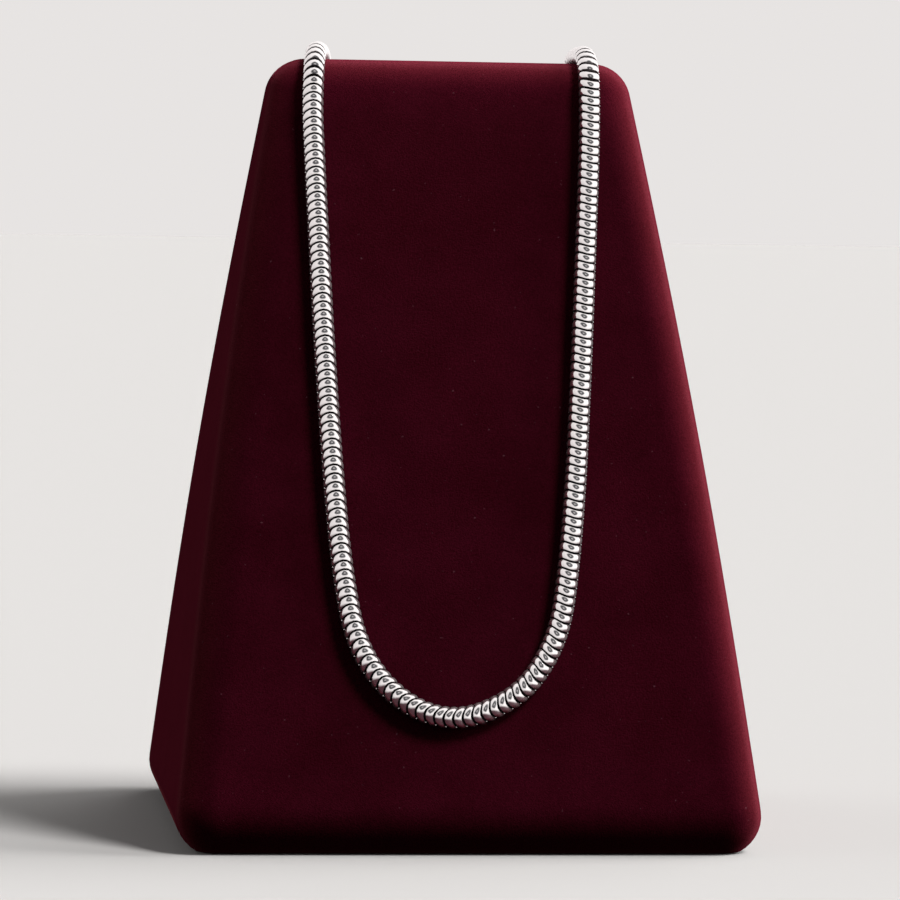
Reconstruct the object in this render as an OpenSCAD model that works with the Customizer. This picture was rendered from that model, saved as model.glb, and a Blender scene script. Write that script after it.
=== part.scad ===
// Snake chain necklace laid over a velvet display stand.
// The origin is under the middle of the stand, on the surface that it rests on.
// +X is to the right, +Y goes from the front to the back, +Z is up. All sizes are in millimetres.

/* [Stand] */
// Width of the stand at its foot
foot_w = 136; // [120:1:180]
// Depth of the stand at its foot
foot_d = 140; // [120:1:180]
// Height of the stand
stand_h = 183; // [175:1:230]
// Width of the ridge along the top
ridge_w = 84; // [84:1:120]
// Depth of the ridge from its front edge to its back edge
ridge_d = 20; // [16:1:30]
// How far the ridge's front edge lies behind the foot's front edge
ridge_setback = 72; // [50:1:90]
// Rounding of the ridge over which the chain is laid
ridge_r = 10; // [9:0.5:12]
// Rounding of all the other edges
edge_r = 8; // [4:0.5:10]
// How far the padded side faces bulge at mid-height
side_bulge = 1.8; // [0:0.1:2.5]

/* [Chain] */
// Outer diameter of the chain
chain_d = 5.2; // [4.8:0.1:6]
// Distance from one link to the next
link_pitch = 2.14; // [2.1:0.02:2.4]
// Width of the groove between two links
groove_w = 0.54; // [0.5:0.02:0.6]
// How much smaller a link's rims are in radius than its middle
dome_h = 0.2; // [0.1:0.05:0.25]
// Thickness of a link's shell at its middle
shell_t = 0.4; // [0.3:0.05:0.5]
// Thickness of the end walls and of the flange inside a link
plate_t = 0.22; // [0.2:0.02:0.26]
// Gap round the flange inside the next link
flange_clearance = 0.35; // [0.3:0.05:0.4]
// How far the flange reaches behind the mouth that holds it
catch_w = 0.25; // [0.15:0.05:0.3]
// Gap round the neck in the mouth of the next link
mouth_clearance = 0.3; // [0.25:0.05:0.4]
// Thickness of the neck that carries the flange
neck_t = 0.5; // [0.4:0.05:0.55]
// Gap between the chain and the velvet
lay_clearance = 0.2; // [0.1:0.05:0.4]

/* [Clasp] */
// Length of the barrel clasp from pivot to pivot
clasp_l = 18; // [14:1:24]
// Rounding of the barrel's shoulders
shoulder_r = 0.8; // [0.4:0.1:1]
// Width of the seam round the barrel's middle
seam_w = 0.4; // [0.2:0.1:0.8]
// Depth of the seam
seam_t = 0.25; // [0.1:0.05:0.4]

/* [Hidden] */

velvet_colour = [0.30, 0.05, 0.10];
silver_colour = [0.80, 0.80, 0.82];

// Lean of each face of the stand from the vertical
front_lean = atan(ridge_setback / stand_h);
back_lean = atan((foot_d - ridge_setback - ridge_d) / stand_h);
side_lean = atan((foot_w - ridge_w) / 2 / stand_h);

// How far a rounded edge's centre lies inside a leaning face's foot line and inside its top line
function foot_inset(r, lean) = r * (1 + sin(lean)) / cos(lean);
function top_inset(r, lean) = r * (1 - sin(lean)) / cos(lean);

// Y of the front and back foot lines, so that the rounded foot has its middle over the origin
foot_front_y = (foot_inset(edge_r, back_lean) - foot_inset(edge_r, front_lean) - foot_d) / 2;
foot_back_y = foot_front_y + foot_d;

// Axes of the ridge's front and back roundings
ridge_z = stand_h - ridge_r;
ridge_front_y = foot_front_y + ridge_setback + top_inset(ridge_r, front_lean);
ridge_back_y = foot_front_y + ridge_setback + ridge_d - top_inset(ridge_r, back_lean);

// The chain's middle line runs at this height over the velvet
lie_h = chain_d / 2 + lay_clearance;
bend_r = ridge_r + lie_h;
front_turn = 90 - front_lean;
back_turn = 90 - back_lean;
front_arc = bend_r * front_turn * PI / 180;
back_arc = bend_r * back_turn * PI / 180;
ridge_flat = ridge_back_y - ridge_front_y;
over_l = front_arc + ridge_flat + back_arc;

// The chain's route, unrolled from the stand's surface: each point is [x, drop], where drop is the
// distance down the front face from where the ridge's rounding starts. Below 0 it goes over the ridge,
// and below -over_l down the back. It starts and ends at the clasp.
route = [
    [-9, -63.4], [-14.8, -62.2], [-20.4, -58.2], [-24.6, -52], [-27.2, -44], [-29, -35],
    [-30.6, -25], [-32.2, -15], [-33.6, -5], [-34.2, 5], [-34, 20], [-33.4, 40], [-32.8, 60],
    [-32, 80], [-31, 100], [-29.7, 118], [-28.6, 127.5], [-26.9, 136.6], [-25.2, 141.5],
    [-22.6, 146.3], [-18.8, 150.9], [-14.1, 154.6], [-9.5, 156.7], [-4.9, 157.5], [-0.2, 157],
    [4.7, 155.2], [9.8, 152.2], [14, 148.2], [17.3, 143.4], [19.7, 138.5], [21.3, 133.6], [22.6, 127],
    [23.9, 118], [25.9, 100], [27.6, 80], [29.1, 60], [30.5, 40], [31.9, 20], [32.6, 7], [32.9, -5],
    [32.8, -15], [32.2, -25], [31, -35], [28.9, -44], [25.8, -51.8], [21, -58.1], [15, -62.2], [9, -63.4]
];
clasp_heading = [-1, 0];
samples_per_step = 16;

// How finely the stand's roundings are cut, and the least radius of its upright edges
corner_steps = 8;
rounding_steps = 8;
least_corner_r = 0.5;

// Slopes at the route's points, per millimetre of chord, then a cubic curve through the points
route_last = len(route) - 1;
steps = [for (i = [0:route_last - 1]) norm(route[i + 1] - route[i])];
slopes = [for (i = [0:route_last])
    i == 0 || i == route_last ? clasp_heading
    : ((route[i] - route[i - 1]) / steps[i - 1] * steps[i]
        + (route[i + 1] - route[i]) / steps[i] * steps[i - 1]) / (steps[i - 1] + steps[i])];
function on_step(i, t) =
    (2 * t ^ 3 - 3 * t ^ 2 + 1) * route[i] + (t ^ 3 - 2 * t ^ 2 + t) * steps[i] * slopes[i]
    + (3 * t ^ 2 - 2 * t ^ 3) * route[i + 1] + (t ^ 3 - t ^ 2) * steps[i] * slopes[i + 1];
samples = [
    for (i = [0:route_last - 1], k = [0:samples_per_step - 1]) on_step(i, k / samples_per_step),
    route[route_last]
];
runs = [for (i = [0:len(samples) - 2]) norm(samples[i + 1] - samples[i])];
lengths = [for (i = 0, s = 0; i <= len(runs); s = s + (i < len(runs) ? runs[i] : 0), i = i + 1) s];
route_l = lengths[len(runs)];
x_table = [for (i = [0:len(runs)]) [lengths[i], samples[i][0]]];
drop_table = [for (i = [0:len(runs)]) [lengths[i], samples[i][1]]];

// Where a drop along the chain's middle line lies, as [y, z]
function over_stand(drop) =
    let (over = -drop)
    over <= 0 ? [ridge_front_y, ridge_z] + bend_r * [-cos(front_lean), sin(front_lean)]
        + drop * [-sin(front_lean), -cos(front_lean)]
    : over <= front_arc ? let (a = front_lean + over / front_arc * front_turn)
        [ridge_front_y, ridge_z] + bend_r * [-cos(a), sin(a)]
    : over <= front_arc + ridge_flat ? [ridge_front_y + over - front_arc, ridge_z + bend_r]
    : over <= over_l ? let (a = (over - front_arc - ridge_flat) / back_arc * back_turn)
        [ridge_back_y, ridge_z] + bend_r * [sin(a), cos(a)]
    : [ridge_back_y, ridge_z] + bend_r * [cos(back_lean), sin(back_lean)]
        + (over - over_l) * [sin(back_lean), -cos(back_lean)];
function pivot(s) = let (yz = over_stand(lookup(s, drop_table))) [lookup(s, x_table), yz[0], yz[1]];

// The links share the route's length evenly, and the clasp closes the loop
link_count = round(route_l / link_pitch);
pitch = route_l / link_count;
pivots = [for (i = [0:link_count]) pivot(i * pitch)];

// One link's own sizes, along its axis from its middle
band_half = (pitch - groove_w) / 2;
dome_r = (band_half ^ 2 + dome_h ^ 2) / (2 * dome_h);
cavity_r = chain_d / 2 - shell_t;
flange_r = cavity_r - flange_clearance;
mouth_r = flange_r - catch_w;
neck_r = mouth_r - mouth_clearance;
bore_r = neck_r - neck_t;
wall_root = (shell_t - dome_h) / 2;
round_fn = 48;

// Places its child, which lies along Z, on the line from one pivot to the next
module between(a, b) {
    along = b - a;
    translate((a + b) / 2)
        rotate([0, acos(along[2] / norm(along)), atan2(along[1], along[0])])
            children();
}

// The neck at one end of a link or of the clasp, with the flange that the next link holds
module neck_profile(from_z, next_z) {
    translate([bore_r, from_z])
        square([neck_t, next_z + plate_t / 2 - from_z]);
    translate([bore_r, next_z - plate_t / 2])
        square([flange_r - bore_r, plate_t]);
}

// Half of a link's cross-section: a domed shell, a wall with the mouth at one end, and the neck at the other
module link_profile() {
    intersection() {
        translate([0, -band_half])
            square([chain_d / 2, 2 * band_half]);
        difference() {
            translate([chain_d / 2 - dome_r, 0])
                circle(dome_r, $fn = round_fn);
            translate([0, -band_half])
                square([cavity_r, 2 * band_half]);
        }
    }
    translate([mouth_r, -band_half])
        square([cavity_r - mouth_r + wall_root, plate_t]);
    translate([bore_r, band_half - plate_t])
        square([cavity_r - bore_r + wall_root, plate_t]);
    neck_profile(band_half - plate_t, pitch);
}

module chain_link() {
    rotate_extrude($fn = round_fn)
        link_profile();
}

// How far out a leaning face lies at height z, from its foot line inwards: a rounding at the foot,
// the straight slope, and a rounding at the top
function face_in(z, lean, top_r, run) =
    z < edge_r * (1 + sin(lean))
        ? foot_inset(edge_r, lean) - sqrt(max(0, edge_r ^ 2 - (z - edge_r) ^ 2))
    : z > stand_h - top_r * (1 - sin(lean))
        ? run + top_inset(top_r, lean) - sqrt(max(0, top_r ^ 2 - (z - stand_h + top_r) ^ 2))
    : z * tan(lean);

// Radius of the stand's upright edges where it is cut level at height z
function corner_at(z, depth) =
    let (foot = z < edge_r ? sqrt(edge_r ^ 2 - (z - edge_r) ^ 2) : edge_r,
         top = z > stand_h - edge_r ? sqrt(max(0, edge_r ^ 2 - (z - stand_h + edge_r) ^ 2)) : edge_r)
    max(least_corner_r, min(foot, top, 0.45 * depth));

// The stand's outline where it is cut level at height z, as a rectangle with round corners
function stand_outline(z) =
    let (bulge = side_bulge * sin(180 * z / stand_h),
         half = foot_w / 2 - face_in(z, side_lean, edge_r, (foot_w - ridge_w) / 2) + bulge,
         front = foot_front_y + face_in(z, front_lean, ridge_r, ridge_setback),
         back = foot_back_y - face_in(z, back_lean, ridge_r, foot_d - ridge_setback - ridge_d),
         r = corner_at(z, back - front),
         centres = [[half - r, back - r], [r - half, back - r], [r - half, front + r], [half - r, front + r]])
    [for (c = [0:3], k = [0:corner_steps]) let (a = 90 * (c + k / corner_steps))
        [centres[c][0] + r * cos(a), centres[c][1] + r * sin(a), z]];

// The heights at which the stand is cut: close together on the roundings
foot_levels = [for (k = [0:rounding_steps]) edge_r * (1 - cos(120 * k / rounding_steps))];
ridge_levels = [for (k = [0:2 * rounding_steps]) ridge_z + ridge_r * sin(90 * k / (2 * rounding_steps))];
middle_levels = [for (k = [1:5]) 1.5 * edge_r + (ridge_z - 1.5 * edge_r) * k / 6];
levels = concat(foot_levels, middle_levels, ridge_levels);

// The stand: a block with soft edges that leans back at the front, at the sides and at the back
module stand() {
    outlines = [for (z = levels) stand_outline(z)];
    count = len(outlines[0]);
    walls = [for (row = [0:len(levels) - 2], k = [0:count - 1])
        let (a = row * count + k, b = row * count + (k + 1) % count)
        each [[a, a + count, b], [b, a + count, b + count]]];
    foot = [for (k = [0:count - 1]) k];
    top = [for (k = [0:count - 1]) len(levels) * count - 1 - k];
    color(velvet_colour)
        polyhedron([for (outline = outlines) each outline], concat(walls, [foot, top]), convexity = 2);
}

module chain() {
    color(silver_colour)
        for (i = [0:link_count - 1])
            between(pivots[i], pivots[i + 1])
                chain_link();
}

// The clasp: a plain barrel at the back, with a mouth at one end and a neck at the other, as on a link
module clasp_profile() {
    half = (clasp_l - groove_w) / 2;
    cavity_l = 2 * band_half - plate_t;
    difference() {
        union() {
            translate([0, -half])
                square([chain_d / 2 - shoulder_r, 2 * half]);
            translate([0, shoulder_r - half])
                square([chain_d / 2, 2 * (half - shoulder_r)]);
            for (end = [-1, 1])
                translate([chain_d / 2 - shoulder_r, end * (half - shoulder_r)])
                    circle(shoulder_r, $fn = round_fn);
        }
        translate([0, -half])
            square([mouth_r, plate_t]);
        translate([0, plate_t - half])
            square([cavity_r, cavity_l - plate_t]);
        translate([chain_d / 2 - seam_t, -seam_w / 2])
            square([seam_t, seam_w]);
    }
    neck_profile(half - plate_t, half + groove_w + band_half);
}

module clasp() {
    color(silver_colour)
        between(pivots[link_count], pivots[0])
            rotate_extrude($fn = round_fn)
                clasp_profile();
}

stand();
chain();
clasp();
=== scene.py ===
import math

import bpy
import numpy as np
from mathutils import Matrix


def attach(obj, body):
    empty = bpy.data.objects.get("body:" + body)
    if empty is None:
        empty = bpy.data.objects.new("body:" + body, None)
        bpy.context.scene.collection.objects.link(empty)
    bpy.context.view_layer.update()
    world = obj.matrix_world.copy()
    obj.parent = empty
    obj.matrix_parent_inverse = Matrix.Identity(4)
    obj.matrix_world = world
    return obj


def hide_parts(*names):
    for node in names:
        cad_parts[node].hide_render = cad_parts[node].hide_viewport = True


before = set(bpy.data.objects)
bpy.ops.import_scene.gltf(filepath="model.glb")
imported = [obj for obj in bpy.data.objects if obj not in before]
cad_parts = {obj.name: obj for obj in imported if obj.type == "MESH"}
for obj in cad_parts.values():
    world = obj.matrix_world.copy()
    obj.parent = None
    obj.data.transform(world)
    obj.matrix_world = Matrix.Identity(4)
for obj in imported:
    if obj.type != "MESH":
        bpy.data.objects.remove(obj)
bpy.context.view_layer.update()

# ---------------------------------------------------------------------------
# The display stand
# A rigid form covered in short burgundy velvet. The cloth is drawn tight over its soft
# edges, and the side faces are lightly padded, so they bow out.
# ---------------------------------------------------------------------------
foot_w, foot_d, stand_h = 0.136, 0.140, 0.183
ridge_w, ridge_d, ridge_setback = 0.084, 0.020, 0.072
ridge_r, edge_r, side_bulge, least_corner_r = 0.010, 0.008, 0.0018, 0.0005
pile, pile_clearance = 0.001, 0.00005
front_lean = math.atan(ridge_setback / stand_h)
back_lean = math.atan((foot_d - ridge_setback - ridge_d) / stand_h)
side_lean = math.atan((foot_w - ridge_w) / 2 / stand_h)


def foot_inset(r, lean):
    """How far a foot rounding's centre lies inside a leaning face's foot line: its radius times one plus the
    lean's sine, over the lean's cosine."""
    return r * (1 + math.sin(lean)) / math.cos(lean)


def top_inset(r, lean):
    """The same at the face's top line, with one less the sine."""
    return r * (1 - math.sin(lean)) / math.cos(lean)


foot_front_y = (foot_inset(edge_r, back_lean) - foot_inset(edge_r, front_lean) - foot_d) / 2
foot_back_y = foot_front_y + foot_d

# The pile is pressed flat under the necklace, so the necklace's way over the stand is worked out here. It hangs
# down the front in a U, goes over the ridge and lies down the back. The chain and the clasp follow it.
chain_d, link_pitch, lay_clearance = 0.0052, 0.00214, 0.0002
# Chosen points of the loop as it is laid out flat, in millimetres: across, and down the front from where the ridge's
# rounding starts. Below 0 the way goes back over the ridge and down behind.
route = 0.001 * np.array([
    [-9, -63.4], [-14.8, -62.2], [-20.4, -58.2], [-24.6, -52], [-27.2, -44], [-29, -35],
    [-30.6, -25], [-32.2, -15], [-33.6, -5], [-34.2, 5], [-34, 20], [-33.4, 40], [-32.8, 60],
    [-32, 80], [-31, 100], [-29.7, 118], [-28.6, 127.5], [-26.9, 136.6], [-25.2, 141.5],
    [-22.6, 146.3], [-18.8, 150.9], [-14.1, 154.6], [-9.5, 156.7], [-4.9, 157.5], [-0.2, 157],
    [4.7, 155.2], [9.8, 152.2], [14, 148.2], [17.3, 143.4], [19.7, 138.5], [21.3, 133.6], [22.6, 127],
    [23.9, 118], [25.9, 100], [27.6, 80], [29.1, 60], [30.5, 40], [31.9, 20], [32.6, 7], [32.9, -5],
    [32.8, -15], [32.2, -25], [31, -35], [28.9, -44], [25.8, -51.8], [21, -58.1], [15, -62.2], [9, -63.4],
])

lie_h = chain_d / 2 + lay_clearance
bend_r = ridge_r + lie_h
ridge_z = stand_h - ridge_r
ridge_front_y = foot_front_y + ridge_setback + top_inset(ridge_r, front_lean)
ridge_back_y = foot_front_y + ridge_setback + ridge_d - top_inset(ridge_r, back_lean)
front_arc = bend_r * (math.pi / 2 - front_lean)
back_arc = bend_r * (math.pi / 2 - back_lean)
ridge_flat = ridge_back_y - ridge_front_y


def over_stand(drop):
    """Turns a distance along the stand's skin, measured down the front, into Y and Z of the chain's middle
    line and the outward direction there: the front slope, an arc, the level ridge, an arc, the back slope."""
    over = -drop
    a = np.where(over <= front_arc, front_lean + np.clip(over, 0, front_arc) / bend_r, math.pi / 2)
    past = np.clip(over - front_arc - ridge_flat, 0, back_arc)
    b = past / bend_r
    on_front = over <= front_arc + ridge_flat / 2
    out = np.where(on_front[:, None], np.stack([-np.cos(a), np.sin(a)], 1), np.stack([np.sin(b), np.cos(b)], 1))
    centre_y = np.where(on_front, ridge_front_y, ridge_back_y)
    flat = np.where(on_front, np.clip(over - front_arc, 0, ridge_flat),
                    -np.clip(front_arc + ridge_flat - over, 0, ridge_flat))
    y = centre_y + bend_r * out[:, 0] + flat
    z = ridge_z + bend_r * out[:, 1]
    down_front = np.maximum(drop, 0)
    down_back = np.maximum(over - front_arc - ridge_flat - back_arc, 0)
    y = y - down_front * math.sin(front_lean) + down_back * math.sin(back_lean)
    z = z - down_front * math.cos(front_lean) - down_back * math.cos(back_lean)
    return np.stack([y, z], 1), out


# The route's points are joined by cubic curves, whose slopes weigh the two chords at each point by the
# length of the other one. The links then share its length evenly.
chords = np.diff(route, axis=0)
steps = np.linalg.norm(chords, axis=1)
headings = chords / steps[:, None]
slopes = np.empty_like(route)
slopes[0] = slopes[-1] = (-1, 0)
slopes[1:-1] = ((headings[:-1] * steps[1:, None] + headings[1:] * steps[:-1, None])
                / (steps[:-1] + steps[1:])[:, None])
samples_per_step = 16
t = (np.arange(samples_per_step) / samples_per_step)[None, :, None]
samples = ((2 * t ** 3 - 3 * t ** 2 + 1) * route[:-1, None]
           + (t ** 3 - 2 * t ** 2 + t) * (steps[:, None] * slopes[:-1])[:, None]
           + (3 * t ** 2 - 2 * t ** 3) * route[1:, None]
           + (t ** 3 - t ** 2) * (steps[:, None] * slopes[1:])[:, None])
samples = np.concatenate([samples.reshape(-1, 2), route[-1:]])
lengths = np.concatenate([[0], np.cumsum(np.linalg.norm(np.diff(samples, axis=0), axis=1))])
link_count = round(lengths[-1] / link_pitch)
pitch = lengths[-1] / link_count
at = np.arange(link_count + 1) * pitch
pivot_x = np.interp(at, lengths, samples[:, 0])
pivot_drop = np.interp(at, lengths, samples[:, 1])
pivot_yz, _ = over_stand(pivot_drop)
pivots = np.column_stack([pivot_x, pivot_yz])
middle_drop = np.interp(at[:-1] + pitch / 2, lengths, samples[:, 1])
_, out_yz = over_stand(middle_drop)
outward = np.column_stack([np.zeros(link_count), out_yz])


def face_in(z, lean, top_r, run):
    """How far in from its foot line a leaning face lies at height z: a quarter-round at the foot,
    z times the slope between, and a rounding at the top that ends level."""
    foot = foot_inset(edge_r, lean) - np.sqrt(np.maximum(0, edge_r ** 2 - (z - edge_r) ** 2))
    top = run + top_inset(top_r, lean) - np.sqrt(np.maximum(0, top_r ** 2 - (z - stand_h + top_r) ** 2))
    slope = z * math.tan(lean)
    in_foot, in_top = z < edge_r * (1 + math.sin(lean)), z > stand_h - top_r * (1 - math.sin(lean))
    return np.where(in_foot, foot, np.where(in_top, top, slope))


def mesh_object(name, points, faces, material, smooth=True):
    """A mesh object at the origin from an array of points and lists of corner numbers."""
    mesh = bpy.data.meshes.new(name)
    mesh.from_pydata(points.tolist(), [], faces)
    mesh.update()
    mesh.polygons.foreach_set("use_smooth", np.full(len(mesh.polygons), smooth))
    mesh.materials.append(material)
    thing = bpy.data.objects.new(name, mesh)
    bpy.context.scene.collection.objects.link(thing)
    return thing


def ring_faces(rows, across):
    """Quads between neighbouring rings of a grid whose rings are closed."""
    row = np.arange(rows - 1)[:, None]
    col = np.arange(across)[None, :]
    below, above = row * across, (row + 1) * across
    right = (col + 1) % across
    return np.stack([below + col, below + right, above + right, above + col], axis=-1).reshape(-1, 4)


def stand_surface(rounding_steps, slope_steps, corner_steps, edge_steps):
    """Level cuts of the stand, from the foot to the ridge. Each is a rectangle with round corners: a corner arc
    runs a quarter turn, then the straight edge to the next corner is divided evenly, in edge_steps of its own."""
    foot_z = edge_r * (1 - np.cos(np.linspace(0, 2 * math.pi / 3, rounding_steps)))
    top_z = stand_h - ridge_r * (1 - np.sin(np.linspace(0, math.pi / 2, rounding_steps)))
    z = np.concatenate([foot_z, np.linspace(foot_z[-1], top_z[0], slope_steps + 1)[1:-1], top_z])
    bulge = side_bulge * np.sin(math.pi * z / stand_h)
    half = foot_w / 2 - face_in(z, side_lean, edge_r, (foot_w - ridge_w) / 2) + bulge
    front = foot_front_y + face_in(z, front_lean, ridge_r, ridge_setback)
    back = foot_back_y - face_in(z, back_lean, ridge_r, foot_d - ridge_setback - ridge_d)
    low = np.sqrt(np.maximum(0, edge_r ** 2 - (np.minimum(z, edge_r) - edge_r) ** 2))
    high = np.sqrt(np.maximum(0, edge_r ** 2 - (np.maximum(z, stand_h - edge_r) - stand_h + edge_r) ** 2))
    r = np.maximum(least_corner_r, np.minimum(np.minimum(low, high), 0.45 * (back - front)))
    centre_x = np.stack([half - r, r - half, r - half, half - r], axis=1)
    centre_y = np.stack([back - r, back - r, front + r, front + r], axis=1)
    level = np.broadcast_to(z[:, None], (len(z), corner_steps))
    arcs = []
    for c in range(4):
        a = (c + np.linspace(0, 1, corner_steps)) * math.pi / 2
        x = centre_x[:, c, None] + r[:, None] * np.cos(a)
        y = centre_y[:, c, None] + r[:, None] * np.sin(a)
        arcs.append(np.stack([x, y, level], axis=-1))
    parts = []
    for c in range(4):
        t = np.linspace(0, 1, edge_steps[c] + 1)[1:-1][None, :, None]
        parts += [arcs[c], arcs[c][:, -1:] * (1 - t) + arcs[(c + 1) % 4][:, :1] * t]
    return np.concatenate(parts, axis=1)


def normals_of(surface):
    """Outward directions on a grid of closed rings: the step round a ring crossed with the step to the next."""
    normal = np.cross(np.roll(surface, -1, axis=1) - np.roll(surface, 1, axis=1), np.gradient(surface, axis=0))
    return normal / np.maximum(np.linalg.norm(normal, axis=-1, keepdims=True), 1e-12)


def pile_height(surface, normals):
    """How far the pile stands off each point of the form: its full height, but no more than the room under
    the chain, which is the chain's height over that point less what its round underside takes of it."""
    run = np.vstack([np.diff(pivots, axis=0), pivots[:1] - pivots[-1:]])
    run = run / np.linalg.norm(run, axis=1, keepdims=True)
    clear_r = chain_d / 2 + pile_clearance
    height = np.full(surface.shape[:2], pile)
    for row, (skin, normal) in enumerate(zip(surface, normals)):
        toward = pivots[None] - skin[:, None]
        near = np.argmin(np.sum(toward ** 2, axis=-1), axis=1)
        toward = toward[np.arange(len(skin)), near]
        toward = toward - run[near] * np.sum(toward * run[near], axis=-1, keepdims=True)
        rise = np.sum(toward * normal, axis=-1)
        aside = np.sum(toward ** 2, axis=-1) - rise ** 2
        room = np.where(aside < clear_r ** 2, rise - np.sqrt(np.maximum(0, clear_r ** 2 - aside)), pile)
        height[row] = np.clip(np.minimum(room, pile), 0, pile)
    return height


def velvet_material():
    """Short cut pile: dark between the tips, with a painted rosy sheen at a slant. The pile leans a little
    unevenly, so it is faintly mottled, and fine painted glints stand for stray fibre ends catching the light."""
    material = bpy.data.materials.new("burgundy_velvet")
    material.use_nodes = True
    nodes, links = material.node_tree.nodes, material.node_tree.links
    shader = nodes["Principled BSDF"]
    where = nodes.new("ShaderNodeTexCoord")

    def noise(scale, detail, roughness):
        """Noise that stays with the piece, of the given fineness per metre."""
        node = nodes.new("ShaderNodeTexNoise")
        node.inputs["Scale"].default_value = scale
        node.inputs["Detail"].default_value = detail
        node.inputs["Roughness"].default_value = roughness
        links.new(where.outputs["Object"], node.inputs["Vector"])
        return node.outputs["Fac"]

    def ramp(factor, stops):
        """A colour that runs through the stops, each a position and a colour."""
        node = nodes.new("ShaderNodeValToRGB")
        links.new(factor, node.inputs["Fac"])
        elements = node.color_ramp.elements
        elements[0].position, elements[1].position = stops[0][0], stops[-1][0]
        for position, _ in stops[1:-1]:
            elements.new(position)
        for element, (_, colour) in zip(elements, stops):
            element.color = (*colour, 1)
        return node.outputs["Color"]

    def combined(kind, a, b, factor):
        """Two colours joined in one of the Mix node's ways."""
        node = nodes.new("ShaderNodeMix")
        node.data_type, node.blend_type = "RGBA", kind
        node.inputs["Factor"].default_value = factor
        links.new(a, node.inputs["A"])
        links.new(b, node.inputs["B"])
        return node.outputs["Result"]

    fibres = noise(2600, 3, 0.7)
    lay = ramp(noise(60, 4, 0.6), [(0.35, (0.0245, 0.0014, 0.0043)), (0.65, (0.0315, 0.0020, 0.0059))])
    grain = ramp(fibres, [(0.35, (0.60, 0.55, 0.55)), (0.62, (1.0, 1.0, 1.0))])
    # Painted glints: fine light specks stand for stray fibre ends catching the light.
    painted_glints = ramp(noise(1400, 0, 0.5), [(0.83, (0.0, 0.0, 0.0)), (0.91, (0.04, 0.02, 0.024))])
    # Painted light: the cloth is made lighter over the ridge, as if more light fell there from above.
    ridge_light_node = nodes.new("ShaderNodeAttribute")
    ridge_light_node.attribute_name = "ridge_light"
    painted_ridge_light = ramp(ridge_light_node.outputs["Fac"], [(0.0, (0.0, 0.0, 0.0)), (1.0, (0.012, 0.0007, 0.0022))])
    cloth = combined("ADD", combined("MULTIPLY", combined("ADD", lay, painted_ridge_light, 1.0), grain, 1.0), painted_glints, 1.0)
    # Painted sheen: at a slant the colour is made lighter and rosier, standing for the lit sides of the fibres that
    # show instead of the dark between their tips.
    slant = nodes.new("ShaderNodeLayerWeight")
    slant.inputs["Blend"].default_value = 0.5
    sides = ramp(slant.outputs["Facing"], [
        (0.05, (0.0, 0.0, 0.0)), (0.20, (0.014, 0.0017, 0.0021)), (0.42, (0.036, 0.0048, 0.0059)),
        (0.65, (0.078, 0.0135, 0.0175)), (0.95, (0.065, 0.0060, 0.0115)), (1.0, (0.250, 0.050, 0.060))])
    # Painted shade: in what the metal mirrors, the painted sheen is dimmed and made less red, standing for pile next
    # to the metal that is pressed and shaded.
    ray = nodes.new("ShaderNodeLightPath")
    reflected_sheen_shade = ramp(ray.outputs["Is Glossy Ray"], [(0.0, (1.0, 1.0, 1.0)), (1.0, (0.35, 0.75, 0.65))])
    sides = combined("MULTIPLY", combined("MULTIPLY", sides, grain, 1.0), reflected_sheen_shade, 1.0)
    links.new(combined("ADD", cloth, sides, 1.0), shader.inputs["Base Color"])
    bump = nodes.new("ShaderNodeBump")
    bump.inputs["Strength"].default_value = 0.5
    bump.inputs["Distance"].default_value = 0.0003
    links.new(fibres, bump.inputs["Height"])
    links.new(bump.outputs["Normal"], shader.inputs["Normal"])
    shader.inputs["Roughness"].default_value = 1.0
    shader.inputs["Specular IOR Level"].default_value = 0.0
    shader.inputs["Sheen Weight"].default_value = 0.08
    shader.inputs["Sheen Roughness"].default_value = 0.3
    shader.inputs["Sheen Tint"].default_value = (1.0, 0.12, 0.22, 1)
    return material


edge_steps, corner_steps, rounding_steps, slope_steps = (110, 30, 110, 30), 9, 13, 140
surface = stand_surface(rounding_steps, slope_steps, corner_steps, edge_steps)
normals = normals_of(surface)
velvet_skin = surface + normals * pile_height(surface, normals)[..., None]
velvet_skin[..., 2] = np.maximum(velvet_skin[..., 2], 0)
rows, across = surface.shape[:2]
faces = ring_faces(rows, across).tolist()
faces.append(list(range(across - 1, -1, -1)))
# The ridge's top is closed by strips from the back edge of the last ring to its front edge, and at the ends.
last = (rows - 1) * across
back_from = last + corner_steps - 1
front_to = back_from + edge_steps[0] + corner_steps - 1 + edge_steps[1] + corner_steps - 1 + edge_steps[2]
for k in range(edge_steps[0]):
    faces.append([back_from + k, back_from + k + 1, front_to - k - 1, front_to - k])
left_end = list(range(back_from + edge_steps[0], front_to - edge_steps[2] + 1))
right_end = list(range(front_to, rows * across)) + list(range(last, back_from + 1))
faces += [left_end, right_end]
stand = mesh_object("velvet_stand", velvet_skin.reshape(-1, 3), faces, velvet_material())
# The painted light is full over the ridge, and below its rounding it fades, to about a third 6 mm lower.
ridge_light_fade = 0.006
below = np.maximum(0, ridge_z + ridge_r * math.sin(front_lean) - surface[..., 2])
ridge_light = stand.data.attributes.new("ridge_light", "FLOAT", "POINT")
ridge_light.data.foreach_set("value", np.exp(-below / ridge_light_fade).reshape(-1))
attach(stand, "root")
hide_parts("stand")


# ---------------------------------------------------------------------------
# The snake chain
# Stamped rings of polished silver, each domed outside and with wavy edges, pushed into
# one another, so that only dark grooves show between them.
# ---------------------------------------------------------------------------
dome_h, crown_drop, seen_gap, groove_r = 0.0002, 0.000015, 0.00052, 0.0018
wave, wave_bend = 0.00045, 0.00078
roll_left, roll_bend, roll_right = math.radians(-3), math.radians(20), math.radians(15)
bead_r, bead_at, bead_angle = 0.00028, 0.00238, math.radians(76)
neck_end_r, neck_end_l, calm_links, calmest = 0.0012, 0.0004, 6, 0.2


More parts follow.
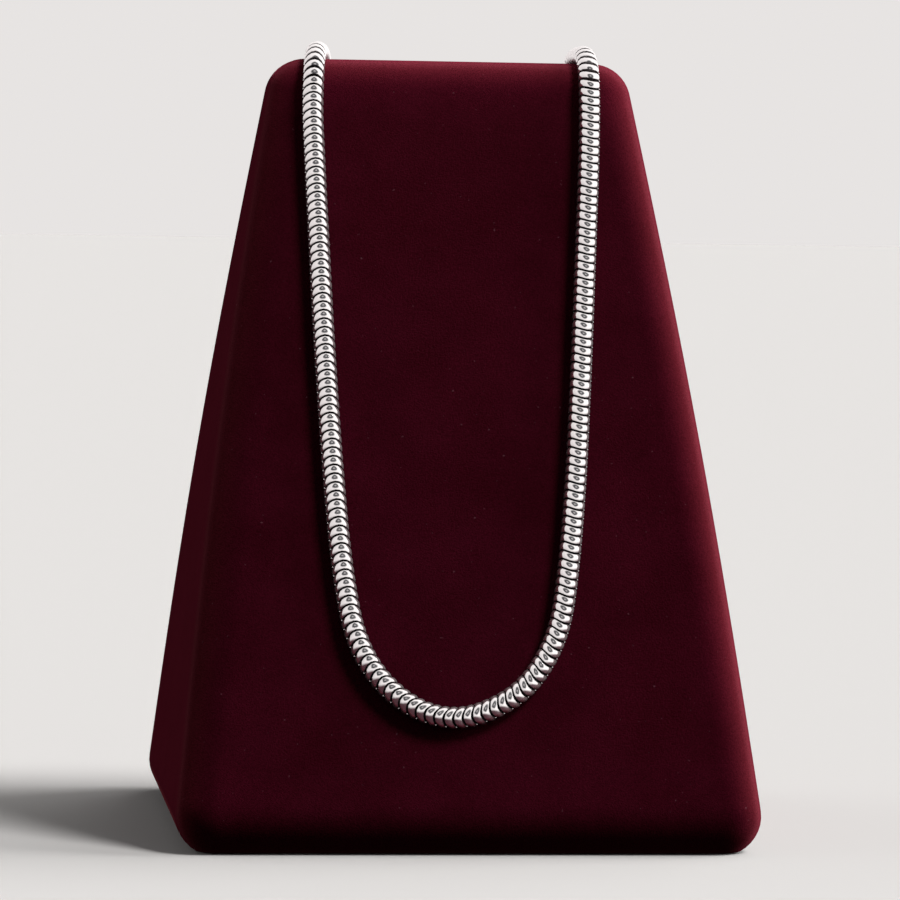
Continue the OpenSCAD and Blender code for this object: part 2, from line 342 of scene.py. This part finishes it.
def link_axes(start, end, outward):
    """Three unit directions for each link: along it from pivot to pivot, out from the stand less what of that
    runs along, and across, which is their cross product."""
    along = end - start
    along = along / np.linalg.norm(along, axis=1, keepdims=True)
    out = outward - along * np.sum(along * outward, axis=1, keepdims=True)
    out = out / np.linalg.norm(out, axis=1, keepdims=True)
    return along, out, np.cross(along, out)


def silver_material(name):
    """Polished silver with very fine wear. The attribute recess says where it lies in a groove or hollow: there it is
    darkened with painted shade, and duller."""
    material = bpy.data.materials.new(name)
    material.use_nodes = True
    nodes, links = material.node_tree.nodes, material.node_tree.links
    shader = nodes["Principled BSDF"]
    shader.inputs["Metallic"].default_value = 0.92
    recess = nodes.new("ShaderNodeAttribute")
    recess.attribute_name = "recess"
    # Painted shade: the colour runs from silver to near black as recess rises.
    tone = nodes.new("ShaderNodeMix")
    tone.data_type = "RGBA"
    tone.inputs["A"].default_value = (0.93, 0.92, 0.915, 1)
    tone.inputs["B"].default_value = (0.02, 0.016, 0.018, 1)
    links.new(recess.outputs["Fac"], tone.inputs["Factor"])
    links.new(tone.outputs["Result"], shader.inputs["Base Color"])
    where = nodes.new("ShaderNodeTexCoord")
    wear = nodes.new("ShaderNodeTexNoise")
    wear.inputs["Scale"].default_value = 900
    wear.inputs["Detail"].default_value = 3
    links.new(where.outputs["Object"], wear.inputs["Vector"])
    rough = nodes.new("ShaderNodeMapRange")
    rough.inputs["To Min"].default_value = 0.07
    rough.inputs["To Max"].default_value = 0.16
    links.new(wear.outputs["Fac"], rough.inputs["Value"])
    spread = nodes.new("ShaderNodeMath")
    spread.operation = "MAXIMUM"
    dull = nodes.new("ShaderNodeMath")
    dull.operation = "MULTIPLY"
    dull.inputs[1].default_value = 0.45
    links.new(recess.outputs["Fac"], dull.inputs[0])
    links.new(dull.outputs[0], spread.inputs[0])
    links.new(rough.outputs["Result"], spread.inputs[1])
    links.new(spread.outputs[0], shader.inputs["Roughness"])
    return material


def chain_skin(sides, centres, along, out, side, waves, rolls):
    """The chain as one closed skin. Each link gives five rings of points: its two rims, two between them on its
    dome, and one at the bottom of the groove that follows. A ring's points stand at its radius times the cosine
    of the angle outwards and times the sine sideways. All swing along the link by its wave times the cosine of
    twice the angle less its roll, and the calm_links next to the clasp not as far. The two ends are closed by
    short necks. Also gives the middles of the beads, which sit in the grooves at bead_angle."""
    half = (pitch - seen_gap) / 2
    shelf, rim_r, crown_r = 0.42 * half, chain_d / 2 - dome_h, chain_d / 2 - crown_drop
    section = np.array([[-half, rim_r], [-shelf, crown_r], [shelf, crown_r], [half, rim_r], [pitch / 2, groove_r]])
    a = np.arange(sides) / sides * 2 * math.pi
    number = np.arange(len(rolls))
    swing = waves * np.clip(np.minimum(number, number[::-1]) / calm_links, calmest, 1)
    forward = section[None, :, 0, None] - swing[:, None, None] * np.cos(2 * (a[None, None, :] - rolls[:, None, None]))
    radius = section[None, :, 1, None]

    def place(centre, forward, radius, along, out, side, a):
        """Points round a link: forward of its middle, and at the radius in the direction a."""
        across = out * (radius * np.cos(a))[..., None] + side * (radius * np.sin(a))[..., None]
        return centre + along * forward[..., None] + across

    link_along, link_out, link_side = (axis[:, None, None] for axis in (along, out, side))
    rings = place(centres[:, None, None], forward, radius, link_along, link_out, link_side, a)
    first = place(pivots[0], np.array([[-neck_end_l], [0.0]]), np.array([[neck_end_r], [groove_r]]),
                  along[0], out[0], side[0], a)
    last = place(pivots[-1], np.array([[neck_end_l]]), np.array([[neck_end_r]]), along[-1], out[-1], side[-1], a)
    bead_forward = pitch / 2 - swing * np.cos(2 * (bead_angle - rolls))
    beads = place(centres, bead_forward, np.full(len(rolls), bead_at), along, out, side, bead_angle)
    return np.concatenate([first, rings.reshape(-1, sides, 3), last]), beads


along, out, side = link_axes(pivots[:-1], pivots[1:], outward)
# The links' waves are low on the straight stretches, and face a little inwards on the left side of the loop and
# outwards on the right. Round its lowest bend they swing further and face outwards.
turn_l, bend_l = 0.020, 0.024
past_lowest = at[:-1] - at[np.argmax(pivot_drop)]
past = np.tanh(past_lowest / turn_l)
bend = np.exp(-(past_lowest / bend_l) ** 2)
rolls = np.where(past < 0, -roll_left, roll_right) * past + roll_bend * bend
waves = wave + (wave_bend - wave) * bend
link_sides = 16
points, beads = chain_skin(link_sides, (pivots[:-1] + pivots[1:]) / 2, along, out, side, waves, rolls)
rows, across = points.shape[:2]
skin_points = rows * across
faces = ring_faces(rows, across).tolist()
faces += [list(range(across - 1, -1, -1)), list(range(skin_points - across, skin_points))]
# Each bead is an eight-sided grain: six points, and the faces between them.
grain_points = beads[:, None] + bead_r * np.concatenate([np.eye(3), -np.eye(3)])
grain_faces = np.array([[0, 1, 2], [1, 3, 2], [3, 4, 2], [4, 0, 2], [1, 0, 5], [3, 1, 5], [4, 3, 5], [0, 4, 5]])
faces += (skin_points + grain_faces[None] + 6 * np.arange(len(beads))[:, None, None]).reshape(-1, 3).tolist()
silver = silver_material("polished_silver")
chain_points = np.concatenate([points.reshape(-1, 3), grain_points.reshape(-1, 3)])
chain = mesh_object("snake_chain", chain_points, faces, silver)
# Painted shade darkens the grooves: full at their bottoms, most of it up their walls, and hardly any on the domes.
# Of each link's five strips of faces, 0 to 2 are its dome and 3 and 4 are the groove's two walls.
kind = (np.arange(rows - 1) - 2) % 5
lower = np.select([kind == 3, kind == 4, kind == 0], [0.85, 1.0, 0.1], 0.0)
upper = np.select([kind == 3, kind == 4, kind == 2], [1.0, 0.85, 0.1], 0.0)
# The necks and caps at the chain's two ends are in full painted shade.
lower[:2], upper[:1], upper[-1:] = 1.0, 1.0, 1.0
dark = np.broadcast_to(np.stack([lower, lower, upper, upper], axis=1)[:, None], (rows - 1, across, 4)).reshape(-1)
dark = np.concatenate([dark, np.ones(2 * across), np.zeros(3 * 8 * len(beads))])
painted_hollow_shade = chain.data.attributes.new("recess", "FLOAT", "CORNER")
painted_hollow_shade.data.foreach_set("value", dark)
# Rims and groove bottoms are creases; the rings on the dome are smooth.
ends = np.empty(len(chain.data.edges) * 2, dtype=np.int64)
chain.data.edges.foreach_get("vertices", ends)
row_of = ends.reshape(-1, 2) // across
in_ring = (row_of[:, 0] == row_of[:, 1]) & (row_of[:, 0] < rows)
crease = chain.data.attributes.new("sharp_edge", "BOOLEAN", "EDGE")
crease.data.foreach_set("value", in_ring & np.isin((row_of[:, 0] - 2) % 5, (0, 3, 4)))
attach(chain, "root")
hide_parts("chain")


# ---------------------------------------------------------------------------
# The clasp
# A plain polished barrel that closes the loop behind the stand. A fine seam round its
# middle shows where its two halves come apart.
# ---------------------------------------------------------------------------
clasp_l, groove_w, shoulder_r, end_hole_r = 0.018, 0.00054, 0.0008, 0.0013
seam_w, seam_t = 0.0004, 0.00025
half_l = (clasp_l - groove_w) / 2
bow = np.linspace(0, math.pi / 2, 6)
end_z = half_l - shoulder_r * (1 - np.sin(bow))
end_r = chain_d / 2 - shoulder_r * (1 - np.cos(bow))
seam_z = np.array([0.9, 0.5, 0.45, 0.4]) * seam_w
seam_r = np.array([chain_d / 2, chain_d / 2 - 0.15 * seam_t, chain_d / 2 - 0.9 * seam_t, chain_d / 2 - seam_t])
right_z = np.concatenate([seam_z[::-1], np.linspace(seam_w * 2, end_z[0], 6), end_z[1:], [half_l, half_l]])
right_r = np.concatenate([seam_r[::-1], np.full(6, chain_d / 2), end_r[1:], [end_hole_r, 0.0002]])
barrel_z = np.concatenate([-right_z[::-1], right_z])
barrel_r = np.concatenate([right_r[::-1], right_r])
barrel_sides = 48
a = np.arange(barrel_sides) / barrel_sides * 2 * math.pi
along, out, side = link_axes(pivots[-1:], pivots[:1], outward[:1])
ring = out[0] * np.cos(a)[None, :, None] + side[0] * np.sin(a)[None, :, None]
points = (pivots[-1] + pivots[0]) / 2 + along[0] * barrel_z[:, None, None] + barrel_r[:, None, None] * ring
rows, across = points.shape[:2]
faces = ring_faces(rows, across).tolist()
faces += [list(range(across - 1, -1, -1)), list(range((rows - 1) * across, rows * across))]
clasp = mesh_object("barrel_clasp", points.reshape(-1, 3), faces, silver)
# Painted shade darkens the seam and round the holes in its ends.
in_recess = (np.abs(barrel_z) < seam_w * 0.48) | (barrel_r < end_hole_r + 0.0002)
painted_hollow_shade = clasp.data.attributes.new("recess", "FLOAT", "POINT")
painted_hollow_shade.data.foreach_set("value", np.repeat(np.where(in_recess, 0.9, 0.0), across))
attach(clasp, "root")
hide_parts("clasp")


# ---------------------------------------------------------------------------
# Stage, light and camera
# A pale floor and backdrop. A soft key light comes from above right, others lift the right
# edge, the left side and the rims from behind. The metal mirrors a white tent with a dark
# opening and dark ground below.
# ---------------------------------------------------------------------------
pale = bpy.data.materials.new("pale_floor")
pale.use_nodes = True
paint = pale.node_tree.nodes["Principled BSDF"].inputs
paint["Base Color"].default_value = (0.3416, 0.332, 0.3254, 1)
paint["Roughness"].default_value = 0.9
paint["Specular IOR Level"].default_value = 0.1
far, floor_z = 40, -0.0001
corners = np.array([[-far, -far, floor_z], [far, -far, floor_z], [far, far, floor_z], [-far, far, floor_z]])
floor = mesh_object("floor", corners, [[0, 1, 2, 3]], pale, smooth=False)
floor.visible_diffuse = floor.visible_glossy = False

world = bpy.data.worlds.new("studio")
bpy.context.scene.world = world
world.use_nodes = True
nodes, links = world.node_tree.nodes, world.node_tree.links
direction = nodes.new("ShaderNodeTexCoord").outputs["Generated"]
parts = nodes.new("ShaderNodeSeparateXYZ")
links.new(direction, parts.inputs["Vector"])


def sky_ramp(value, stops):
    """A world colour that runs between two stops of one number."""
    node = nodes.new("ShaderNodeMapRange")
    node.data_type = "FLOAT_VECTOR"
    spread = nodes.new("ShaderNodeCombineXYZ")
    for axis in "XYZ":
        links.new(value, spread.inputs[axis])
    links.new(spread.outputs[0], node.inputs["Vector"])
    (start, from_colour), (end, to_colour) = stops
    values = {"From_Min_FLOAT3": (start,) * 3, "From_Max_FLOAT3": (end,) * 3,
              "To_Min_FLOAT3": from_colour, "To_Max_FLOAT3": to_colour}
    for socket in node.inputs:
        if socket.identifier in values:
            socket.default_value = values[socket.identifier]
    return next(o for o in node.outputs if o.identifier == "Vector")


def mixed_sky(kind, a, b, factor):
    """Two world colours mixed in one of the Mix node's ways, by a number or by another output."""
    node = nodes.new("ShaderNodeMix")
    node.data_type, node.blend_type = "RGBA", kind
    for socket, value in (("Factor", factor), ("A", a), ("B", b)):
        if isinstance(value, (float, tuple)):
            node.inputs[socket].default_value = value
        else:
            links.new(value, node.inputs[socket])
    return node.outputs["Result"]


# The tent is brighter on the right. Its opening, high in front, is dark with a paler middle.
toward_opening = (0.103, -0.70, 0.707)
nearness = nodes.new("ShaderNodeVectorMath")
nearness.operation = "DOT_PRODUCT"
links.new(direction, nearness.inputs[0])
nearness.inputs[1].default_value = toward_opening
tent = sky_ramp(parts.outputs["X"], ((-1.0, (0.82, 0.765, 0.765)), (0.8, (1.16, 1.10, 1.09))))
opening = sky_ramp(nearness.outputs["Value"], ((0.80, (1.0, 1.0, 1.0)), (0.89, (0.025, 0.025, 0.03))))
core = sky_ramp(nearness.outputs["Value"], ((0.974, (0.0, 0.0, 0.0)), (0.996, (0.42, 0.41, 0.41))))
ground = sky_ramp(parts.outputs["Z"], ((-0.30, (0.085, 0.035, 0.045)), (0.02, (1.0, 1.0, 1.0))))
opening = mixed_sky("ADD", opening, core, 1.0)
mirrored = mixed_sky("MULTIPLY", mixed_sky("MULTIPLY", tent, opening, 1.0), ground, 1.0)
ambient = sky_ramp(parts.outputs["X"], ((-0.6, (0.115, 0.115, 0.115)), (0.8, (0.26, 0.255, 0.255))))
lit = mixed_sky("MULTIPLY", ambient, ground, 1.0)
ray = nodes.new("ShaderNodeLightPath")
seen = mixed_sky("MIX", lit, mirrored, ray.outputs["Is Glossy Ray"])
# The camera sees a plain pale backdrop, and the metal mirrors the tent. All else is lit by the ambient light.
backdrop = mixed_sky("MIX", seen, (0.80, 0.775, 0.765, 1.0), ray.outputs["Is Camera Ray"])
links.new(backdrop, nodes["Background"].inputs["Color"])


def soft_sun(name, toward, strength, angle):
    """Even light from the direction toward, as soft as a lamp that fills the given angle of the sky."""
    lamp = bpy.data.lights.new(name, "SUN")
    lamp.energy, lamp.angle = strength, math.radians(angle)
    away = np.array(toward, float) / np.linalg.norm(toward)
    right = np.cross((0, 0, 1.0), away)
    right = right / np.linalg.norm(right)
    up = np.cross(away, right)
    thing = bpy.data.objects.new(name, lamp)
    thing.matrix_world = Matrix([[right[i], up[i], away[i], 2 * away[i]] for i in range(3)] + [[0, 0, 0, 1]])
    thing.visible_glossy = False
    bpy.context.scene.collection.objects.link(thing)


soft_sun("key", (0.60, -0.35, 0.95), 4.2, 18)
soft_sun("rim", (0.50, 0.60, 0.80), 1.0, 40)
soft_sun("side", (1.0, 0.12, 0.42), 5.8, 40)
soft_sun("fill", (-1.00, 0.35, 0.45), 0.9, 60)

# The camera stands 1.1 m in front of the foot, a little to the left, and looks slightly down. Its focal length and
# its turns, in radians, were fitted to the stand's outline in the photo.
focal_px, picture_px = 4873, 900
turn, tilt, roll = 0.11267, -0.04653, 0.01517
place = (-0.1317, -1.1 + foot_front_y, 0.1448)
forward = np.array([math.sin(turn) * math.cos(tilt), math.cos(turn) * math.cos(tilt), math.sin(tilt)])
level = np.array([math.cos(turn), -math.sin(turn), 0])
upright = np.cross(level, forward)
right = math.cos(roll) * level + math.sin(roll) * upright
up = math.cos(roll) * upright - math.sin(roll) * level
lens = bpy.data.cameras.new("camera")
lens.sensor_width = 36
lens.lens = focal_px / picture_px * lens.sensor_width
lens.clip_end = 200
camera = bpy.data.objects.new("camera", lens)
camera.matrix_world = Matrix([[right[i], up[i], -forward[i], place[i]] for i in range(3)] + [[0, 0, 0, 1]])
bpy.context.scene.collection.objects.link(camera)
bpy.context.scene.camera = camera
bpy.context.scene.view_settings.view_transform = "Standard"
